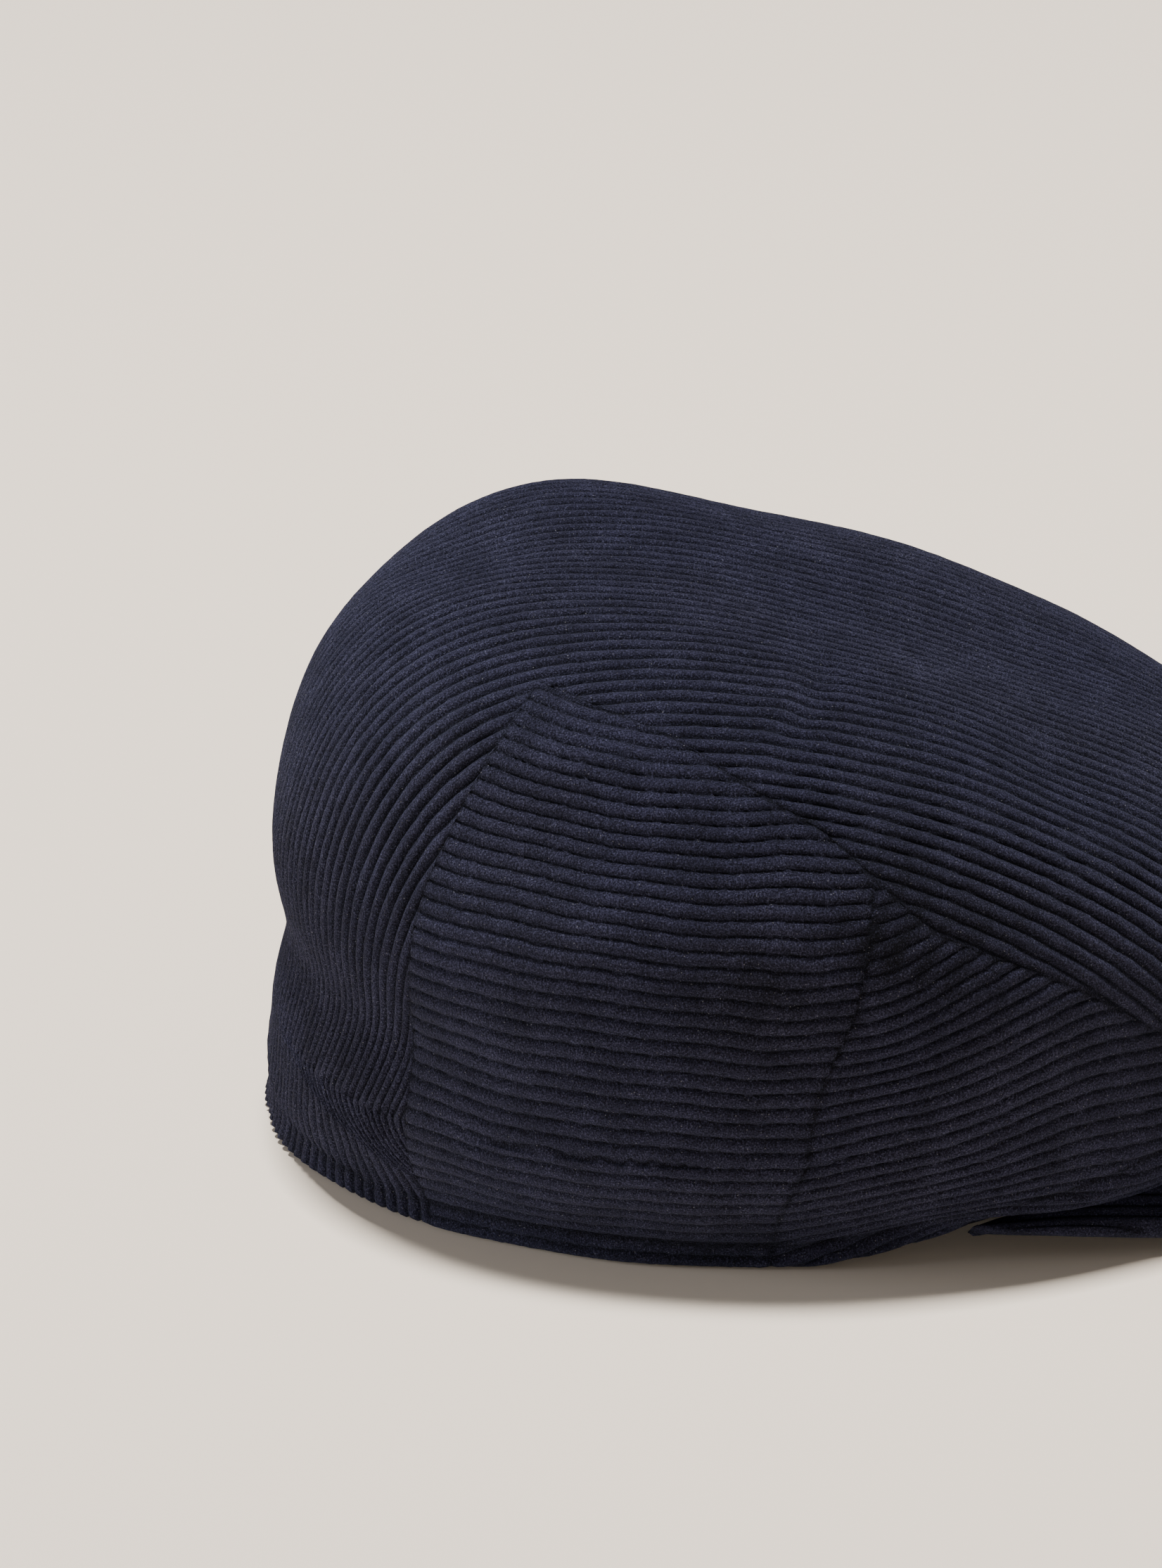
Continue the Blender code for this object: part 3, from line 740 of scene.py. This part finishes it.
def woven_material(name, color, scale, rough):
    """A plain cloth or board with fine ribs, scale of them to the unit of a wave texture. Painted
    shade darkens the hollows between the ribs, and random grain darkens it in spots.
    """
    m = Nodes(name)
    position = m.add("ShaderNodeTexCoord").outputs["Object"]
    rib = m.add("ShaderNodeTexWave", bands_direction="Z", Scale=scale, Distortion=0.6)
    grain = m.add("ShaderNodeTexNoise", Scale=1800.0, Detail=2.0)
    m.link(position, rib.inputs["Vector"])
    m.link(position, grain.inputs["Vector"])
    dark = tuple(c * 0.6 for c in color) + (1,)
    # Painted shade between the ribs; the same dark colour serves the random grain below.
    base = m.mix(rib.outputs["Fac"], dark, color + (1,))
    base = m.mix(m.maths("MULTIPLY", grain.outputs["Fac"], 0.4), base, dark)
    m.link(base, m.shader.inputs["Base Color"])
    m.shader.inputs["Roughness"].default_value = rough
    m.shader.inputs["Sheen Weight"].default_value = 0.15
    relief = m.add("ShaderNodeBump", Strength=0.6, Distance=0.0003)
    m.link(rib.outputs["Fac"], relief.inputs["Height"])
    m.link(relief.outputs["Normal"], m.shader.inputs["Normal"])
    return m.material


# ------------------------------------------------------------------ stage, light and camera

FLOOR_RADIUS = 4.5
FLOOR_CURVE = 1.6
WALL_TOP = 3.0
FLOOR_SIDES = 96


def make_stage():
    """A flat round floor that curves up into a wall on every side, all in pale paper."""
    m = Nodes("studio paper")
    m.shader.inputs["Base Color"].default_value = PAPER
    m.shader.inputs["Roughness"].default_value = 0.9
    profile = [(0.4, 0.0), (FLOOR_RADIUS, 0.0)]
    profile += [(FLOOR_RADIUS + FLOOR_CURVE * math.sin(a), FLOOR_CURVE - FLOOR_CURVE * math.cos(a))
                for a in np.linspace(0.1, math.pi / 2, 14)]
    profile.append((FLOOR_RADIUS + FLOOR_CURVE, WALL_TOP))
    points, faces = [(0, 0, 0)], []
    for radius, height in profile:
        for turn in np.arange(FLOOR_SIDES) * 2 * math.pi / FLOOR_SIDES:
            points.append((radius * math.cos(turn), radius * math.sin(turn), height))
    for i in range(FLOOR_SIDES):
        j = (i + 1) % FLOOR_SIDES
        faces.append((0, 1 + i, 1 + j))
        for k in range(len(profile) - 1):
            low, high = 1 + k * FLOOR_SIDES, 1 + (k + 1) * FLOOR_SIDES
            faces.append((low + i, high + i, high + j, low + j))
    mesh = bpy.data.meshes.new("floor")
    mesh.from_pydata(points, [], faces)
    mesh.materials.append(m.material)
    floor = linked_object("floor", mesh)


def area_light(name, place, aim, size, power, color):
    data = bpy.data.lights.new(name, "AREA")
    data.shape = "RECTANGLE"
    data.size, data.size_y = size
    data.energy = power
    data.color = color
    lamp = bpy.data.objects.new(name, data)
    lamp.location = place
    lamp.rotation_mode = "QUATERNION"
    lamp.rotation_quaternion = (Vector(aim) - Vector(place)).to_track_quat("-Z", "Y")
    bpy.context.scene.collection.objects.link(lamp)


# Name, place, aim, size, power in watts and colour.
LIGHTS = (
    ("top", (0.36, 0.14, 2.2), (0, 0, 0.05), (0.34, 0.34), 106, (1.0, 0.985, 0.97)),
    ("front", (-2.4, -0.1, 0.36), (0, 0, 0.06), (1.6, 0.6), 14, (1.0, 0.99, 0.98)),
    ("rear", (0.1, 2.4, 0.40), (0, 0, 0.06), (1.2, 0.6), 42, (0.90, 0.94, 1.0)),
)
WORLD_COLOR = (1.0, 0.985, 0.965, 1)
WORLD_STRENGTH = 0.118


def make_lights():
    world = bpy.data.worlds.new("studio")
    world.use_nodes = True
    background = world.node_tree.nodes["Background"]
    background.inputs["Color"].default_value = WORLD_COLOR
    background.inputs["Strength"].default_value = WORLD_STRENGTH
    bpy.context.scene.world = world
    for light in LIGHTS:
        area_light(*light)


# The picture is VIEW_HEIGHT high at NEAR_SIDE ahead of the aim, where the cap's near side is.
CAMERA_AZIMUTH = 265.56
CAMERA_ELEVATION = 21.82
CAMERA_DISTANCE = 2.3
VIEW_HEIGHT = 0.29993
NEAR_SIDE = 0.100
SENSOR = 36
AIM = (0.0249, 0.0359 + HEAD_CENTRE_Y, 0.0583)


def make_camera():
    a, e = math.radians(CAMERA_AZIMUTH), math.radians(CAMERA_ELEVATION)
    back = Vector((math.sin(a) * math.cos(e), -math.cos(a) * math.cos(e), math.sin(e)))
    data = bpy.data.cameras.new("camera")
    data.sensor_width = SENSOR
    data.lens = SENSOR * (CAMERA_DISTANCE - NEAR_SIDE) / VIEW_HEIGHT
    data.clip_start, data.clip_end = 0.1, 30
    camera = bpy.data.objects.new("camera", data)
    camera.location = Vector(AIM) + back * CAMERA_DISTANCE
    camera.rotation_mode = "QUATERNION"
    camera.rotation_quaternion = (-back).to_track_quat("-Z", "Y")
    bpy.context.scene.collection.objects.link(camera)
    bpy.context.scene.camera = camera


# ------------------------------------------------------------------ the cap

def add_piece(piece, material, node):
    piece.data.materials.append(material)
    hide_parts(node)
    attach(piece, "root")


def shell_around(turn, depth):
    """Points and normals of the rumpled shell for turns from -90 right round to 270."""
    turn, depth = np.broadcast_arrays(turn, depth)
    azimuth = np.where(turn > 90, 180 - turn, turn)
    flip = np.stack([np.where(turn > 90, -1.0, 1.0), 1 + 0 * turn, 1 + 0 * turn], -1)
    points = crown_points(azimuth, depth) * flip
    normals = crown_normals(azimuth, depth) * flip
    return rumpled(points, normals), normals


def grid_object(name, points, closed=False, centre=None):
    """A sheet over a grid of points. It can close on its first side, or past its last row."""
    count, rows = points.shape[:2]
    last = count if closed else count - 1
    shift = np.array([0, HEAD_CENTRE_Y, 0])
    vertices = (points.reshape(-1, 3) + shift).tolist()
    faces = []
    for i in range(last):
        here, there = i * rows, (i + 1) % count * rows
        faces += [(here + j, here + j + 1, there + j + 1, there + j) for j in range(rows - 1)]
        if centre is not None:
            faces.append((here + rows - 1, count * rows, there + rows - 1))
    if centre is not None:
        vertices.append((centre + shift).tolist())
    mesh = bpy.data.meshes.new(name)
    mesh.from_pydata(vertices, [], faces)
    return linked_object(name, mesh)


def lining_points(turn, depth):
    """The lining, loose inside the shell, and straight from its widest line down to the hem."""
    turn, depth = np.broadcast_arrays(turn, depth)
    above = np.minimum(depth, EDGE_DEPTH)
    points, normals = shell_around(turn, above)
    inset = LINING_INSET + LINING_DROP * np.clip((0.70 - above) / 0.20, 0, 1)
    fold = np.sin(turn / 5.1 + 3 * depth) + 0.6 * np.sin(turn / 2.3 - 9 * depth)
    inset = inset + LINING_FOLD * (fold + 1.6) * smooth((0.78 - above) / 0.2)
    points = points - normals * inset[..., None]
    azimuth = np.where(turn > 90, 180 - turn, turn)
    inward, up = LINING_FOOT
    foot = placed(azimuth, hem_radius(azimuth) - LINING_INSET - inward, hem_height(azimuth) + up)
    foot[..., 0] *= np.where(turn > 90, -1, 1)
    share = np.clip((depth - EDGE_DEPTH) / (1 - EDGE_DEPTH), 0, 1)[..., None]
    return points + share * (foot - points)


def strip_points(turn, height, inset):
    """A strip that stands inside the hem, leaning in, at a height above it."""
    azimuth = np.where(turn > 90, 180 - turn, turn)
    radius = hem_radius(azimuth) - inset - SWEATBAND_LEAN * height
    points = placed(azimuth, radius, hem_height(azimuth) + height)
    points[..., 0] *= np.where(turn > 90, -1, 1)
    return points


def lining_crown():
    turn = np.linspace(-90, 270, 361)[:-1, None]
    depth = np.linspace(LINING_SEAM_DEPTH, 0.02, 40)[None, :]
    middle = lining_points(np.array([90.0]), np.array([0.01]))[0]
    return grid_object("lining_top", lining_points(turn, depth), True, middle)


def lining_side(side, first, last):
    turn = np.linspace(first + 0.3, last - 0.3, 181)[:, None]
    depth = np.linspace(1.0, LINING_SEAM_DEPTH + LINING_SEAM_GAP, 60)[None, :]
    return grid_object(f"lining_band_{side}", lining_points(turn, depth))


def sweatband():
    """A ribbed ribbon with a row of stitches pressed in near each edge."""
    turn = np.linspace(-90, 270, SWEATBAND_RIBS * 4 + 1)[:-1, None]
    height = np.linspace(SWEATBAND_LOW, SWEATBAND_HEIGHT, 25)[None, :]
    turn, height = np.broadcast_arrays(turn, height)
    around = np.radians(turn + 90)
    rib = SWEATBAND_RIB * np.sin(around * SWEATBAND_RIBS)
    pressed = sum(bump(height, line, SWEATBAND_STITCH_WIDTH) for line in SWEATBAND_STITCHES)
    uneven = 0.6 + 0.4 * np.sin(around * SWEATBAND_RIBS / 2)
    pressed = SWEATBAND_STITCH_DEPTH * pressed * uneven
    points = strip_points(turn, height, SWEATBAND_INSET + rib + pressed)
    return grid_object("sweatband_ribbon", points, True)


def care_label():
    """A blank woven label, sewn in at its foot and curling a little at its free edge."""
    half = math.degrees(LABEL_WIDTH / 2 / HEM_BACK)
    turn = np.linspace(LABEL_AZIMUTH - half, LABEL_AZIMUTH + half, 33)[:, None]
    height = np.linspace(LABEL_LOW, LABEL_HIGH, 37)[None, :]
    turn, height = np.broadcast_arrays(turn, height)
    share = (height - LABEL_LOW) / (LABEL_HIGH - LABEL_LOW)
    side = (turn - LABEL_AZIMUTH) / half
    curl = LABEL_CURL * share ** 2 * (0.4 + side ** 2) + LABEL_RIPPLE * np.sin(share * 90)
    edge = LABEL_EDGE * bump(np.abs(side), 0.9, 0.05)
    inset = SWEATBAND_INSET + LABEL_INSET + curl - edge
    return grid_object("care_label_cloth", strip_points(turn, height, inset))


def back_seam(share):
    return eased(BACK_SEAM_LINE, 1 - BACK_SEAM_LENGTH * share)


def front_seam(share):
    return FRONT_SEAM + 0 * share


def temple_seam(share):
    return eased(TEMPLE_SEAM, share)


def level(across):
    return 0 * across


def rising(across):
    return FRONT_TILT * across


def build_shell(corduroy):
    top = top_panel("cap_top_panel")
    add_piece(top, corduroy, "top_panel")
    for side, mirrored in (("right", False), ("left", True)):
        rear = side_panel(f"cap_back_side_{side}", back_seam, temple_seam, mirrored, level, 1.0)
        add_piece(rear, corduroy, f"back_side_panel_{side}")
        fore = side_panel(f"cap_front_side_{side}", temple_seam, front_seam, mirrored, rising, 0.0)
        add_piece(fore, corduroy, f"front_side_panel_{side}")
    for name, node, upper in (("peak_upper", "peak_top_cover", True),
                              ("peak_lower", "peak_under_cover", False)):
        cover = peak_cover(name, upper)
        add_piece(cover, corduroy, node)


def build_inside():
    satin = satin_material()
    ribbon = woven_material("sweatband ribbon", (0.020, 0.020, 0.028), 260.0, 0.8)
    white = woven_material("label cloth", (0.55, 0.55, 0.52), 900.0, 0.85)
    board = woven_material("peak board", (0.45, 0.45, 0.43), 500.0, 0.6)
    top = lining_crown()
    add_piece(top, satin, "lining_crown")
    for side, first, last in (("right", -90, 90), ("left", 90, 270)):
        band = lining_side(side, first, last)
        add_piece(band, satin, f"lining_side_{side}")
    ribbed = sweatband()
    add_piece(ribbed, ribbon, "sweatband")
    tag = care_label()
    add_piece(tag, white, "care_label")
    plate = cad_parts["peak_board"]
    plate.data.materials.clear()
    plate.data.materials.append(board)


def main():
    make_camera()
    make_stage()
    make_lights()
    build_shell(corduroy_material())
    build_inside()


main()
